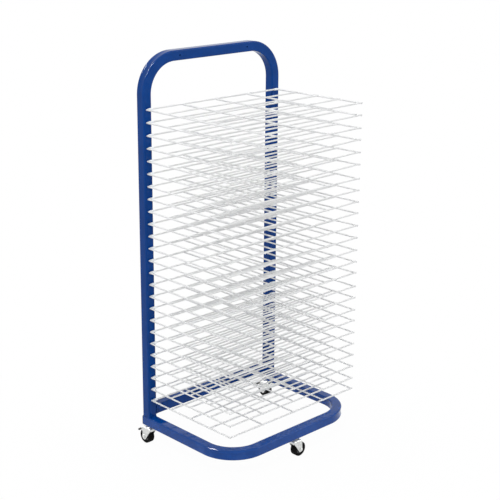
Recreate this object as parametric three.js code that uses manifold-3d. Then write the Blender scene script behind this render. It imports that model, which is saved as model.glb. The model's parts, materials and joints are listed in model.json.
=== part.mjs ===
// Mobile art drying rack: a bent tube back frame on a U base with three casters,
// and a stack of wire shelves that pivot at the front of the uprights.
// Millimetres, +Z up, the front of the rack faces -Y, the floor is z = 0.
import * as THREE from 'three';
import { mergeVertices } from 'three/addons/utils/BufferGeometryUtils.js';
import Module from 'manifold-3d';

// Square tube of the frame
const TUBE = 25.4;
const TUBE_WALL = 1.5;
const BEND_RADIUS = 98;
const BEND_STEPS = 4;

// Back frame and base
const FRAME_WIDTH = 451.4;
const BASE_REACH = 303.8;
const BASE_CLEARANCE = 52;
const RAIL_LIFT = 5;
const SIGN_HOLE_SPACING = 221.4;
const SIGN_HOLE_DIAMETER = 4.5;
const CAP_FLANGE = 2;
const CAP_DEPTH = 4;

// Shelf stack
const SHELF_COUNT = 25;
const SHELF_PITCH = 31;
const FIRST_SHELF_LIFT = 49.2;
const TOP_SPACE = 129.4;
const WIRE = 3;
const SHELF_INSET = 9.6;
const SHELF_DEPTH = 286.1;
const CELLS_ACROSS = 4;
const CELLS_DEEP = 4;

// Pivot stubs and the strips that carry them
const PIVOT_REACH = 6.3;
const PIVOT_CLEARANCE = 0.3;
const JAW_WALL = 1;
const JAW_STEPS = 5;
const STUB_WIDTH = 4.5;
const STUB_SIDE_GAP = 0.9;
const STRIP_THICKNESS = 2;

// Casters
const WHEEL_DIAMETER = 38;
const WHEEL_WIDTH = 16.5;
const HUB_DIAMETER = 23;
const TYRE_SIDES = 24;
const WHEEL_SIDE_GAP = 1.2;
const TRAIL = 11.5;
const FRONT_CASTER_X = 6;
const FORK_PLATE = 1.8;
const FORK_TOP = 45.5;
const CROWN_LENGTH = 26;
const BOSS_RADIUS = 5.5;
const AXLE_DIAMETER = 5;
const AXLE_HEAD_DIAMETER = 8;
const AXLE_HEAD_HEIGHT = 2.2;
const STEM_DIAMETER = 8;
const RACE_DIAMETER = 24;
const RACE_HEIGHT = 3.5;
const NECK_DIAMETER = 14;
const RIVET_DIAMETER = 12;
const RIVET_HEIGHT = 2.5;
const STEM_RISE = 15;
const NUT_HEIGHT = 6;
const NUT_SIZE = 13;

// Brake pedal of the rear casters
const PEDAL_PIN_SETBACK = 8;
const PEDAL_PIN_HEIGHT = 40.5;
const PEDAL_PIN_DIAMETER = 3;
const PEDAL_HUB_RADIUS = 3.2;
const PEDAL_REACH = 39;
const PEDAL_THICKNESS = 3.4;
const PAD_GAP = 4.1;
const SHOE_GAP = 2.65;

// Gaps between pieces that touch
const GAP = 0.3;

// Derived places
const TUBE_CORNER = 1.4 * TUBE_WALL;
const HALF_WIDTH = FRAME_WIDTH / 2;
const UPRIGHT_X = HALF_WIDTH - TUBE / 2;
const WHEEL_RADIUS = WHEEL_DIAMETER / 2;
const FORK_INNER = WHEEL_WIDTH / 2 + WHEEL_SIDE_GAP;
const FORK_OUTER = FORK_INNER + FORK_PLATE;
const AXLE_END = FORK_OUTER + GAP + AXLE_HEAD_HEIGHT;
const FRONT_REACH = BASE_REACH + Math.max(0, AXLE_END - TUBE / 2);
const REAR_REACH = TUBE / 2 + PEDAL_REACH;
const PEDAL_PIN_X = TRAIL + PEDAL_PIN_SETBACK;
const FACE_Y = (FRONT_REACH - REAR_REACH) / 2;
const REAR_Y = FACE_Y + TUBE;
const BASE_FRONT_Y = FACE_Y - BASE_REACH;
const LEG_TOP = BASE_CLEARANCE + TUBE;
const FIRST_SHELF_Z = LEG_TOP + FIRST_SHELF_LIFT;
const STACK_HEIGHT = (SHELF_COUNT - 1) * SHELF_PITCH;
const FRAME_TOP = FIRST_SHELF_Z + STACK_HEIGHT + TOP_SPACE;
const PIVOT_Y = FACE_Y - PIVOT_REACH;
const SHELF_SPAN = FRAME_WIDTH - 2 * SHELF_INSET;
const SIDE_WIRE_X = SHELF_SPAN / 2;
const STUB_X = SIDE_WIRE_X - WIRE / 2 - STUB_SIDE_GAP - STUB_WIDTH / 2;
const JAW_SPAN = Math.PI * 4 / 3;
const JAW_RADIUS = (WIRE * Math.SQRT1_2 + PIVOT_CLEARANCE) / Math.cos(JAW_SPAN / JAW_STEPS / 2);
const STUB_HALF_HEIGHT = JAW_RADIUS + JAW_WALL;

const wasm = await Module();
wasm.setup();

// Materials
const paint = { color: 0x123f92, roughness: 0.32, metalness: 0.1 };
const coatedWire = { color: 0xe9ebee, roughness: 0.45, metalness: 0.0 };
const whitePlastic = { color: 0xeef0f2, roughness: 0.5, metalness: 0.0 };
const zinc = { color: 0xb9bec2, roughness: 0.35, metalness: 0.9 };
const blackRubber = { color: 0x141414, roughness: 0.7, metalness: 0.0 };
const blackPlastic = { color: 0x1c1c1e, roughness: 0.5, metalness: 0.0 };
const greyPlastic = { color: 0x3a3b3d, roughness: 0.55, metalness: 0.0 };

// A closed geometry as a solid for joining and cutting
function solid(geometry) {
  const bare = geometry.index ? geometry.toNonIndexed() : geometry.clone();
  bare.deleteAttribute('normal');
  bare.deleteAttribute('uv');
  const merged = mergeVertices(bare, 1e-4);
  return new wasm.Manifold(new wasm.Mesh({
    numProp: 3,
    vertProperties: new Float32Array(merged.attributes.position.array),
    triVerts: new Uint32Array(merged.index.array),
  }));
}

// A solid back as a geometry with flat faces
function geometryOf(body) {
  const mesh = body.getMesh();
  const geometry = new THREE.BufferGeometry();
  geometry.setAttribute('position', new THREE.BufferAttribute(mesh.vertProperties, 3));
  geometry.setIndex(new THREE.BufferAttribute(mesh.triVerts, 1));
  geometry.computeVertexNormals();
  return geometry;
}

function join(bodies) {
  return bodies.reduce((whole, body) => whole.add(body));
}

function cut(body, tools) {
  return tools.reduce((rest, tool) => rest.subtract(tool), body);
}

// A box between two corners
function block(x0, x1, y0, y1, z0, z1) {
  const geometry = new THREE.BoxGeometry(x1 - x0, y1 - y0, z1 - z0);
  geometry.translate((x0 + x1) / 2, (y0 + y1) / 2, (z0 + z1) / 2);
  return geometry;
}

// A rod along Z between two heights
function rod(radius, z0, z1, sides) {
  const geometry = new THREE.CylinderGeometry(radius, radius, z1 - z0, sides);
  geometry.rotateX(Math.PI / 2);
  geometry.translate(0, 0, (z0 + z1) / 2);
  return geometry;
}

// A rod along Y between two places
function rodAlongY(radius, y0, y1, sides) {
  const geometry = new THREE.CylinderGeometry(radius, radius, y1 - y0, sides);
  geometry.translate(0, (y0 + y1) / 2, 0);
  return geometry;
}

// A turned piece about Z from [radius, height] points
function turned(points, sides) {
  const geometry = new THREE.LatheGeometry(points.map(([r, z]) => new THREE.Vector2(r, z)), sides);
  geometry.rotateX(Math.PI / 2);
  return geometry;
}

// A flat outline drawn in X and Z, extruded along Y from y0 to y1
function plateAlongY(shape, y0, y1) {
  const geometry = new THREE.ExtrudeGeometry(shape, {
    depth: y1 - y0,
    bevelEnabled: false,
    curveSegments: 3,
  });
  geometry.rotateX(Math.PI / 2);
  geometry.translate(0, y1, 0);
  return geometry;
}

// Outline of a tube bent twice into a U: it opens at v = 0 and closes at v = length
function bentOutline(halfWidth, length, radius, inset) {
  const outer = halfWidth - inset;
  const inner = halfWidth - TUBE + inset;
  const outerRadius = radius - inset;
  const innerRadius = radius - TUBE + inset;
  const centreX = halfWidth - radius;
  const centreV = length - radius;
  const shape = new THREE.Shape();
  shape.moveTo(outer, -TUBE);
  shape.lineTo(outer, centreV);
  shape.absarc(centreX, centreV, outerRadius, 0, Math.PI / 2, false);
  shape.absarc(-centreX, centreV, outerRadius, Math.PI / 2, Math.PI, false);
  shape.lineTo(-outer, -TUBE);
  shape.lineTo(-inner, -TUBE);
  shape.lineTo(-inner, centreV);
  shape.absarc(-centreX, centreV, innerRadius, Math.PI, Math.PI / 2, true);
  shape.absarc(centreX, centreV, innerRadius, Math.PI / 2, 0, true);
  shape.lineTo(inner, -TUBE);
  shape.closePath();
  return shape;
}

// Hollow U of square tube lying in X and Y, its legs open at y = 0 and its bar at y = length
function bentTube(halfWidth, length) {
  const outside = new THREE.ExtrudeGeometry(bentOutline(halfWidth, length, BEND_RADIUS, 0), {
    depth: TUBE - 2 * TUBE_CORNER,
    bevelThickness: TUBE_CORNER,
    bevelSize: TUBE_CORNER,
    bevelOffset: -TUBE_CORNER,
    bevelSegments: 1,
    curveSegments: BEND_STEPS,
  });
  outside.translate(0, 0, TUBE_CORNER);
  const inside = new THREE.ExtrudeGeometry(bentOutline(halfWidth, length, BEND_RADIUS, TUBE_WALL), {
    depth: TUBE - 2 * TUBE_WALL,
    bevelEnabled: false,
    curveSegments: BEND_STEPS,
  });
  inside.translate(0, 0, TUBE_WALL);
  const ends = block(-halfWidth - TUBE, halfWidth + TUBE, -2 * TUBE, 0, -TUBE, 2 * TUBE);
  return cut(solid(outside), [solid(inside), solid(ends)]);
}

const rack = new THREE.Group();

function addMesh(parent, name, geometry, look) {
  const mesh = new THREE.Mesh(geometry, new THREE.MeshStandardMaterial(look));
  mesh.name = name;
  parent.add(mesh);
  return mesh;
}

// Heights of the shelf pivots, from the bottom shelf up
const shelfHeights = Array.from({ length: SHELF_COUNT }, (_, i) => FIRST_SHELF_Z + i * SHELF_PITCH);

// Back frame: an inverted U standing on the base legs
function backFrame() {
  const foot = LEG_TOP + GAP;
  const height = FRAME_TOP - foot;
  const flat = geometryOf(bentTube(HALF_WIDTH, height));
  flat.rotateX(Math.PI / 2);
  flat.translate(0, REAR_Y, foot);
  const slotX = STUB_WIDTH / 2 + GAP;
  const slotZ = STUB_HALF_HEIGHT + GAP;
  const wallY0 = FACE_Y - 1;
  const wallY1 = FACE_Y + TUBE_WALL + 1;
  const cuts = [];
  for (const side of [-1, 1]) {
    for (const z of shelfHeights) {
      const x = side * STUB_X;
      cuts.push(block(x - slotX, x + slotX, wallY0, wallY1, z - slotZ, z + slotZ));
    }
    const hole = rodAlongY(SIGN_HOLE_DIAMETER / 2, wallY0, wallY1, 10);
    hole.translate(side * SIGN_HOLE_SPACING / 2, 0, FRAME_TOP - TUBE / 2);
    cuts.push(hole);
  }
  return geometryOf(cut(solid(flat), cuts.map(solid)));
}

// Base frame: a U lying flat, its bar to the front and its legs open to the rear
function baseFrame() {
  const flat = geometryOf(bentTube(HALF_WIDTH, REAR_Y - BASE_FRONT_Y));
  flat.rotateZ(Math.PI);
  flat.translate(0, REAR_Y, BASE_CLEARANCE);
  const holes = casterPlaces.map(({ x, y }) => {
    const hole = rod(STEM_DIAMETER / 2 + GAP, BASE_CLEARANCE - 1, BASE_CLEARANCE + TUBE_WALL + 1, 12);
    hole.translate(x, y, 0);
    return solid(hole);
  });
  return geometryOf(cut(solid(flat), holes));
}

// Rear rail: a straight tube between the uprights
function rearRail() {
  const half = HALF_WIDTH - TUBE - GAP;
  const shape = new THREE.Shape();
  const c = TUBE_CORNER;
  shape.moveTo(c, 0);
  shape.lineTo(TUBE - c, 0);
  shape.absarc(TUBE - c, c, c, -Math.PI / 2, 0, false);
  shape.absarc(TUBE - c, TUBE - c, c, 0, Math.PI / 2, false);
  shape.absarc(c, TUBE - c, c, Math.PI / 2, Math.PI, false);
  shape.absarc(c, c, c, Math.PI, 1.5 * Math.PI, false);
  const bore = new THREE.Path();
  bore.moveTo(TUBE_WALL, TUBE_WALL);
  bore.lineTo(TUBE_WALL, TUBE - TUBE_WALL);
  bore.lineTo(TUBE - TUBE_WALL, TUBE - TUBE_WALL);
  bore.lineTo(TUBE - TUBE_WALL, TUBE_WALL);
  bore.closePath();
  shape.holes.push(bore);
  const geometry = new THREE.ExtrudeGeometry(shape, {
    depth: 2 * half,
    bevelEnabled: false,
    curveSegments: 1,
  });
  geometry.rotateX(Math.PI / 2);
  geometry.rotateZ(Math.PI / 2);
  geometry.translate(-half, FACE_Y, LEG_TOP + RAIL_LIFT);
  return geometry;
}

// Cap in the open rear end of a base leg
function legCap(side) {
  const x = side * UPRIGHT_X;
  const z = BASE_CLEARANCE + TUBE / 2;
  const half = TUBE / 2;
  const plug = TUBE / 2 - TUBE_WALL - GAP;
  const seat = REAR_Y + GAP;
  const flange = block(x - half, x + half, seat, seat + CAP_FLANGE, z - half, z + half);
  const body = block(x - plug, x + plug, REAR_Y - CAP_DEPTH, seat + CAP_FLANGE / 2, z - plug, z + plug);
  return geometryOf(solid(flange).add(solid(body)));
}

// Strip inside an upright, seen from the side, with a snap jaw for each shelf's rear wire
function stripOutline() {
  const front = PIVOT_REACH + TUBE_WALL + GAP;
  const back = front + STRIP_THICKNESS;
  const half = STUB_HALF_HEIGHT;
  const lip = JAW_RADIUS;
  const shape = new THREE.Shape();
  shape.moveTo(back, shelfHeights[0] - 2 * half);
  shape.lineTo(back, shelfHeights[SHELF_COUNT - 1] + 2 * half);
  shape.lineTo(front, shelfHeights[SHELF_COUNT - 1] + 2 * half);
  for (const z of shelfHeights.toReversed()) {
    shape.lineTo(front, z + half);
    shape.lineTo(0, z + half);
    shape.lineTo(-half * 0.8, z + half * 0.6);
    for (let i = 0; i <= JAW_STEPS; i += 1) {
      const angle = JAW_SPAN * (1 - i / JAW_STEPS) - Math.PI / 2;
      shape.lineTo(JAW_RADIUS * Math.cos(angle), z + JAW_RADIUS * Math.sin(angle));
    }
    shape.lineTo(-lip, z - JAW_RADIUS);
    shape.lineTo(-lip, z - half);
    shape.lineTo(front, z - half);
  }
  shape.lineTo(front, shelfHeights[0] - 2 * half);
  shape.closePath();
  return shape;
}

function pivotStrip(side) {
  const strip = new THREE.ExtrudeGeometry(stripOutline(), { depth: STUB_WIDTH, bevelEnabled: false });
  strip.rotateX(Math.PI / 2);
  strip.rotateZ(Math.PI / 2);
  strip.translate(side * STUB_X - STUB_WIDTH / 2, PIVOT_Y, 0);
  return strip;
}

// Wire shelf about its pivot: a grid of wires whose side wires run back past the rear wire,
// so that their tails meet the uprights and hold the shelf level
function shelfGrid() {
  const half = WIRE / 2;
  const stepX = SHELF_SPAN / CELLS_ACROSS;
  const stepY = SHELF_DEPTH / CELLS_DEEP;
  const outerX = SIDE_WIRE_X + half;
  const innerX = SIDE_WIRE_X - half;
  const tail = PIVOT_REACH - GAP;
  const sheet = block(-outerX, outerX, -SHELF_DEPTH - half, tail, -half, half);
  const openings = [block(-innerX, innerX, half, tail + 1, -WIRE, WIRE)];
  for (let i = 0; i < CELLS_ACROSS; i += 1) {
    const x0 = -SIDE_WIRE_X + i * stepX + half;
    for (let j = 0; j < CELLS_DEEP; j += 1) {
      const y0 = -(j + 1) * stepY + half;
      openings.push(block(x0, x0 + stepX - WIRE, y0, y0 + stepY - WIRE, -WIRE, WIRE));
    }
  }
  return geometryOf(cut(solid(sheet), openings.map(solid)));
}

// Caster stem: rivet head, kingpin, swivel race, neck and threaded stud in one turned piece
function casterStem() {
  const pin = STEM_DIAMETER / 2;
  const plateLow = FORK_TOP - FORK_PLATE - GAP;
  const raceLow = FORK_TOP + GAP;
  const raceHigh = raceLow + RACE_HEIGHT;
  const neckTop = BASE_CLEARANCE - GAP;
  return turned([
    [0, plateLow - RIVET_HEIGHT],
    [RIVET_DIAMETER / 2, plateLow - RIVET_HEIGHT],
    [RIVET_DIAMETER / 2, plateLow],
    [pin, plateLow],
    [pin, raceLow],
    [RACE_DIAMETER / 2, raceLow],
    [RACE_DIAMETER / 2, raceLow + RACE_HEIGHT * 0.4],
    [NECK_DIAMETER / 2, raceHigh],
    [NECK_DIAMETER / 2, neckTop],
    [pin, neckTop],
    [pin, BASE_CLEARANCE + STEM_RISE],
    [0, BASE_CLEARANCE + STEM_RISE],
  ], 12);
}

// Hex nut on the stud inside the tube
function stemNut() {
  const low = BASE_CLEARANCE + TUBE_WALL + GAP;
  const nut = rod(NUT_SIZE / Math.sqrt(3), low, low + NUT_HEIGHT, 6);
  const bore = rod(STEM_DIAMETER / 2 + GAP, low - 1, low + NUT_HEIGHT + 1, 12);
  return geometryOf(solid(nut).subtract(solid(bore)));
}

// Fork: a crown plate and two side plates, drawn with the trail along +X and the axle along Y
function casterFork(withBrake) {
  const crown = CROWN_LENGTH / 2;
  const side = new THREE.Shape();
  side.moveTo(-crown, FORK_TOP);
  side.lineTo(-crown, FORK_TOP - 2 * FORK_PLATE);
  side.absarc(TRAIL, WHEEL_RADIUS, BOSS_RADIUS, -Math.PI * 0.8, 0, false);
  if (withBrake) {
    side.lineTo(TRAIL + BOSS_RADIUS, PEDAL_PIN_HEIGHT - 3 * PEDAL_HUB_RADIUS);
    side.absarc(PEDAL_PIN_X, PEDAL_PIN_HEIGHT, PEDAL_HUB_RADIUS, -Math.PI * 0.2, Math.PI * 0.4, false);
  } else {
    side.lineTo(TRAIL + BOSS_RADIUS, FORK_TOP - 2 * FORK_PLATE);
  }
  side.lineTo(crown, FORK_TOP);
  side.closePath();
  const bodies = [
    solid(plateAlongY(side, FORK_INNER, FORK_OUTER)),
    solid(plateAlongY(side, -FORK_OUTER, -FORK_INNER)),
    solid(block(-crown, crown, -FORK_OUTER, FORK_OUTER, FORK_TOP - FORK_PLATE, FORK_TOP)),
  ];
  const axleBore = rodAlongY(AXLE_DIAMETER / 2 + GAP, -2 * FORK_OUTER, 2 * FORK_OUTER, 8);
  axleBore.translate(TRAIL, 0, WHEEL_RADIUS);
  const stemBore = rod(STEM_DIAMETER / 2 + GAP, FORK_TOP - 2 * FORK_PLATE, FORK_TOP + 1, 12);
  const tools = [solid(stemBore), solid(axleBore)];
  if (withBrake) {
    const pinBore = rodAlongY(PEDAL_PIN_DIAMETER / 2 + GAP, -2 * FORK_OUTER, 2 * FORK_OUTER, 8);
    pinBore.translate(PEDAL_PIN_X, 0, PEDAL_PIN_HEIGHT);
    tools.push(solid(pinBore));
  }
  return geometryOf(cut(join(bodies), tools));
}

// A headed pin through both fork plates, turned about Y
function forkPin(diameter, headDiameter, headHeight, sides) {
  const r = diameter / 2;
  const h = headDiameter / 2;
  const seat = FORK_OUTER + GAP;
  const pin = turned([
    [0, -seat - headHeight],
    [h, -seat - headHeight],
    [h, -seat],
    [r, -seat],
    [r, seat],
    [h, seat],
    [h, seat + headHeight],
    [0, seat + headHeight],
  ], sides);
  pin.rotateX(Math.PI / 2);
  return pin;
}

// A ring about the axle, from [radius, place along the axle] points, with a flat side down
function wheelRing(points, sides) {
  const ring = turned([...points, points[0]], sides);
  ring.rotateX(Math.PI / 2);
  ring.rotateY(Math.PI / sides);
  return ring;
}

function wheelHub() {
  const bore = AXLE_DIAMETER / 2 + GAP;
  const rim = HUB_DIAMETER / 2 - GAP / 2;
  const half = WHEEL_WIDTH / 2;
  return wheelRing([
    [bore, -half - WHEEL_SIDE_GAP / 2],
    [AXLE_HEAD_DIAMETER / 2, -half - WHEEL_SIDE_GAP / 2],
    [AXLE_HEAD_DIAMETER / 2, -half + 2],
    [rim, -half + 2],
    [rim, half - 2],
    [AXLE_HEAD_DIAMETER / 2, half - 2],
    [AXLE_HEAD_DIAMETER / 2, half + WHEEL_SIDE_GAP / 2],
    [bore, half + WHEEL_SIDE_GAP / 2],
  ], 12);
}

function wheelTyre() {
  const bore = HUB_DIAMETER / 2 + GAP / 2;
  const half = WHEEL_WIDTH / 2;
  const tread = WHEEL_RADIUS / Math.cos(Math.PI / TYRE_SIDES);
  return wheelRing([
    [bore, -half],
    [tread - 2, -half],
    [tread, -half + 3],
    [tread, half - 3],
    [tread - 2, half],
    [bore, half],
  ], TYRE_SIDES);
}

// Brake pedal about its pin: an arm that follows the tyre down to the rear pad
function brakePedal() {
  const arm = PEDAL_REACH - PEDAL_PIN_X;
  const centreDrop = PEDAL_PIN_HEIGHT - WHEEL_RADIUS;
  const shape = new THREE.Shape();
  const overTyre = (degrees, gap) => {
    const angle = THREE.MathUtils.degToRad(degrees);
    const x = (WHEEL_RADIUS + gap) * Math.sin(angle) - PEDAL_PIN_SETBACK;
    const z = (WHEEL_RADIUS + gap) * Math.cos(angle) - centreDrop;
    return new THREE.Vector2(x, z);
  };
  const shoeTop = overTyre(35, SHOE_GAP);
  const shoeEnd = overTyre(49, SHOE_GAP);
  const pad = overTyre(68, PAD_GAP);
  shape.absarc(0, 0, PEDAL_HUB_RADIUS, Math.PI * 0.3, Math.PI * 1.5, false);
  shape.lineTo(shoeTop.x, shoeTop.y);
  shape.lineTo(shoeEnd.x, shoeEnd.y);
  shape.lineTo(pad.x, pad.y);
  shape.lineTo(arm, pad.y - 0.2 * PEDAL_THICKNESS);
  shape.lineTo(arm, pad.y + 0.8 * PEDAL_THICKNESS);
  shape.lineTo(pad.x, pad.y + 1.2 * PEDAL_THICKNESS);
  shape.closePath();
  const width = FORK_INNER - 2 * GAP;
  const body = plateAlongY(shape, -width, width);
  const bore = rodAlongY(PEDAL_PIN_DIAMETER / 2 + GAP, -2 * width, 2 * width, 8);
  return geometryOf(solid(body).subtract(solid(bore)));
}

// Casters: place of the stem and the way the wheel trails
const casterPlaces = [
  { name: 'caster_rear_left', x: -UPRIGHT_X, y: FACE_Y + TUBE / 2, turn: Math.PI / 2, brake: true },
  { name: 'caster_rear_right', x: UPRIGHT_X, y: FACE_Y + TUBE / 2, turn: Math.PI / 2, brake: true },
  { name: 'caster_front', x: FRONT_CASTER_X, y: BASE_FRONT_Y + TUBE / 2, turn: 0, brake: false },
];

function addCaster({ name, x, y, turn, brake }) {
  const caster = new THREE.Group();
  caster.position.set(x, y, 0);
  caster.rotation.z = turn;
  rack.add(caster);
  addMesh(caster, `${name}_stem`, casterStem(), zinc);
  addMesh(caster, `${name}_nut`, stemNut(), zinc);
  addMesh(caster, `${name}_fork`, casterFork(brake), zinc);
  const wheel = new THREE.Group();
  wheel.position.set(TRAIL, 0, WHEEL_RADIUS);
  caster.add(wheel);
  addMesh(wheel, `${name}_axle`, forkPin(AXLE_DIAMETER, AXLE_HEAD_DIAMETER, AXLE_HEAD_HEIGHT, 8), zinc);
  addMesh(wheel, `${name}_hub`, wheelHub(), greyPlastic);
  addMesh(wheel, `${name}_tyre`, wheelTyre(), blackRubber);
  if (brake) {
    const lever = new THREE.Group();
    lever.position.set(PEDAL_PIN_X, 0, PEDAL_PIN_HEIGHT);
    caster.add(lever);
    addMesh(lever, `${name}_pedal_pin`, forkPin(PEDAL_PIN_DIAMETER, PEDAL_PIN_DIAMETER + 2, 1, 6), zinc);
    addMesh(lever, `${name}_pedal`, brakePedal(), blackPlastic);
  }
}

// Frame
addMesh(rack, 'back_frame', backFrame(), paint);
addMesh(rack, 'base_frame', baseFrame(), paint);
addMesh(rack, 'rear_rail', rearRail(), paint);
addMesh(rack, 'leg_cap_left', legCap(-1), blackPlastic);
addMesh(rack, 'leg_cap_right', legCap(1), blackPlastic);

// Pivot strips
addMesh(rack, 'pivot_strip_left', pivotStrip(-1), whitePlastic);
addMesh(rack, 'pivot_strip_right', pivotStrip(1), whitePlastic);

// Shelves, counted from the bottom
const grid = shelfGrid();
shelfHeights.forEach((z, i) => {
  const shelf = addMesh(rack, `shelf_${String(i + 1).padStart(2, '0')}`, grid.clone(), coatedWire);
  shelf.position.set(0, PIVOT_Y, z);
});

// Running gear
casterPlaces.forEach(addCaster);

export default rack;
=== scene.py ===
"""Looks of a mobile art drying rack: painted tubes, wire shelves, pivot clips and casters."""
import json
import math
import random

import bmesh
import bpy
from bpy.props import FloatProperty, FloatVectorProperty, IntProperty, PointerProperty
from mathutils import Matrix, Vector


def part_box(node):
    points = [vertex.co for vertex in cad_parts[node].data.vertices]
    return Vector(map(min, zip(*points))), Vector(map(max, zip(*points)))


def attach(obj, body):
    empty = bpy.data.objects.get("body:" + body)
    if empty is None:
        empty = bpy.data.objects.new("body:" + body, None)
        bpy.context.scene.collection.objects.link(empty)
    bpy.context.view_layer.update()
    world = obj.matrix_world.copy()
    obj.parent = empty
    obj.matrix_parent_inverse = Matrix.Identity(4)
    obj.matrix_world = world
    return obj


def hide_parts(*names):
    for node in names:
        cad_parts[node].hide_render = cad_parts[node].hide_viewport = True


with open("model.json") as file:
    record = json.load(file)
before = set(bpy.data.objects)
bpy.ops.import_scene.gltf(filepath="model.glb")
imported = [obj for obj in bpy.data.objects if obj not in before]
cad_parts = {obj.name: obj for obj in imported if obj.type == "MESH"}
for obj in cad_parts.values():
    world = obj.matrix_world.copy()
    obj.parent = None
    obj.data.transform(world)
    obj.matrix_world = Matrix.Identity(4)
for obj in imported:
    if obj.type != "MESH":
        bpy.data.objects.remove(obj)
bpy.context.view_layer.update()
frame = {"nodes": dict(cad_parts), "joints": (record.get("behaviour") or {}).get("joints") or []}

bl_info = {
    "name": "Art Drying Rack",
    "version": (1, 0, 0),
    "blender": (4, 5, 0),
    "location": "View3D > Sidebar > Rack",
    "description": "Builds the painted tubes, wire shelves and casters of an art drying rack",
    "category": "Object",
}

MM = 0.001
BACK_LOW, BACK_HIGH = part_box("back_frame")
BASE_LOW, BASE_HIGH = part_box("base_frame")
RAIL_LOW, RAIL_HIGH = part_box("rear_rail")
TUBE_SIDE = BACK_HIGH.y - BACK_LOW.y
SHELVES = sorted(name for name in frame["nodes"] if name.startswith("shelf_"))
PIVOTS = {joint["child"]: Vector(joint["pos_m"]) for joint in frame["joints"]}
SHELF_PIVOTS = [PIVOTS[name + "_body"] for name in SHELVES]
SHELF_LOW, SHELF_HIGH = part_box(SHELVES[0])
PITCH = (SHELF_PIVOTS[-1].z - SHELF_PIVOTS[0].z) / (len(SHELVES) - 1)
CASTERS = ("rear_left", "rear_right", "front")

# The root of a pivot clip from its lower to its upper edge, and the room around it
CLIP_ROOT = (-2.2 * MM, 0.3 * MM)
CLIP_TO_WIRE = 0.4 * MM
SLOT_PLAY = 0.3 * MM
CUT_DEPTH = 5 * MM
CAP_GAP = 0.2 * MM

# How shelves stand off level, in parts of the settle: the two lowest, then the lower and upper ones
LOWEST_SETTLE = ((0.1, -1.1), (-1.8, -2.4))
LOWER_PART = 0.4
LOWER_LEAN = -0.6
UPPER_LEAN = 1.1

# Wires in parts of their thickness, and the fineness of wires and bends
LAYER_DROP = -0.45
WELD_RADIUS = 0.46
WIRE_POINTS = 13
WIRE_SIDES = 8
SINK_CUTS = 9

# How far off a vertex may lie and still count as part of a bend's outer wall
WALL_SLACK = 0.02 * MM
END_SLACK = 0.01 * MM

# The drops of a weld bead: their sizes, their spacing in radii, and how they are dealt out
SMALL_DROP = 0.8
LARGE_DROP = 1.15
DROP_SPACING = 1.1
BEAD_SEED = 4

# How far tools that cut right through reach to each side
TOOL_REACH = 40 * MM

# The pressed sheet of a fork: its bends along the sides, its rounded front and where its blank ends
FORK_BEND = 4 * MM
CROWN_ROUND = 3 * MM
FORK_FOOT = 5 * MM

# How much lighter the base's paint is made: painted light, since the base has the same paint as the tubes
# and only looks lighter for the light it gets
BASE_PAINTED_LIGHT_LIFT = 1.2


def middle_of(node):
    """The middle of a node's box"""
    low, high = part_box(node)
    return (low + high) / 2


TRAIL = (middle_of("caster_front_axle") - middle_of("caster_front_stem")).xy.length
PEDAL_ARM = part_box("caster_rear_left_pedal")[1].y - middle_of("caster_rear_left_pedal_pin").y
PEDAL_SETBACK = (middle_of("caster_rear_left_pedal_pin") - middle_of("caster_rear_left_axle")).y


# Sizes and colours that a user would change

def length(name, default, description):
    return FloatProperty(name=name, default=default, description=description, unit="LENGTH",
                         precision=5)


def count(name, default, description):
    return IntProperty(name=name, default=default, min=1, description=description)


def colour(name, default, description):
    return FloatVectorProperty(name=name, default=default, description=description,
                               subtype="COLOR", size=3, min=0.0, max=1.0)


class RackTubeSizes(bpy.types.PropertyGroup):
    """Sizes of the square tubes"""
    side: length("Tube side", TUBE_SIDE, "Outside width of the square tube")
    corner: length("Corner radius", 3.4 * MM, "Rounding along the tube's long edges")
    bend: length("Bend radius", 98 * MM, "Outside radius of the bends")
    sink: length("Bend sink", 1.1 * MM, "How far the outer wall of a bend sinks")
    bend_steps: count("Bend steps", 28, "Steps around each bend")
    corner_steps: count("Corner steps", 4, "Steps around each rounded edge")
    sign_spacing: length("Hole spacing", 221.4 * MM, "Distance between the two holes in the top bar")
    sign_hole: length("Hole diameter", 4.5 * MM, "Width of the holes in the top bar")
    bead: length("Weld bead", 1.3 * MM, "Radius of one drop of the weld beads")


class RackShelfSizes(bpy.types.PropertyGroup):
    """Sizes of the wire shelves and their pivot clips"""
    wire: length("Wire", 4.0 * MM, "Thickness of the coated wire")
    overhang: length("Overhang", 0.0 * MM, "How far the wires run past each other at the rim")
    cells_across: count("Cells across", 4, "Cells between the side wires")
    cells_deep: count("Cells deep", 4, "Cells between the rear and the front wire")
    settle: length("Settle", 3.0 * MM, "How far the shelves' front corners stand off level")
    settle_seed: count("Settle seed", 663, "Changes which shelves stand off level")
    lifted_room: length("Lifted room", 1.9 * MM, "Room between the wires of two lifted shelves")
    clip_width: length("Clip width", 11.2 * MM, "Width of a pivot clip")
    clip_height: length("Clip height", 5.6 * MM, "Height of a pivot clip")


class RackCasterSizes(bpy.types.PropertyGroup):
    """Sizes of the casters"""
    wheel: length("Wheel", 38 * MM, "Diameter of the wheel")
    width: length("Wheel width", 16.5 * MM, "Width of the tyre")
    hub: length("Hub", 23 * MM, "Diameter of the wheel's hub")
    trail: length("Trail", TRAIL, "Distance from the stem to the axle")
    plate: length("Fork plate", 1.8 * MM, "Thickness of the fork's sheet")
    side_gap: length("Side gap", 1.2 * MM, "Room between the tyre and the fork")
    top: length("Fork top", 45.5 * MM, "Height of the fork's top")
    crown: length("Crown", 26 * MM, "Length of the fork's top")
    boss: length("Boss", 5.5 * MM, "Radius of the fork around the axle")
    pedal_pin: length("Pedal pin", 40.5 * MM, "Height of the pin of the brake pedal")
    pedal_setback: length("Pedal setback", PEDAL_SETBACK, "Distance from the axle back to the pedal's pin")


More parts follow.
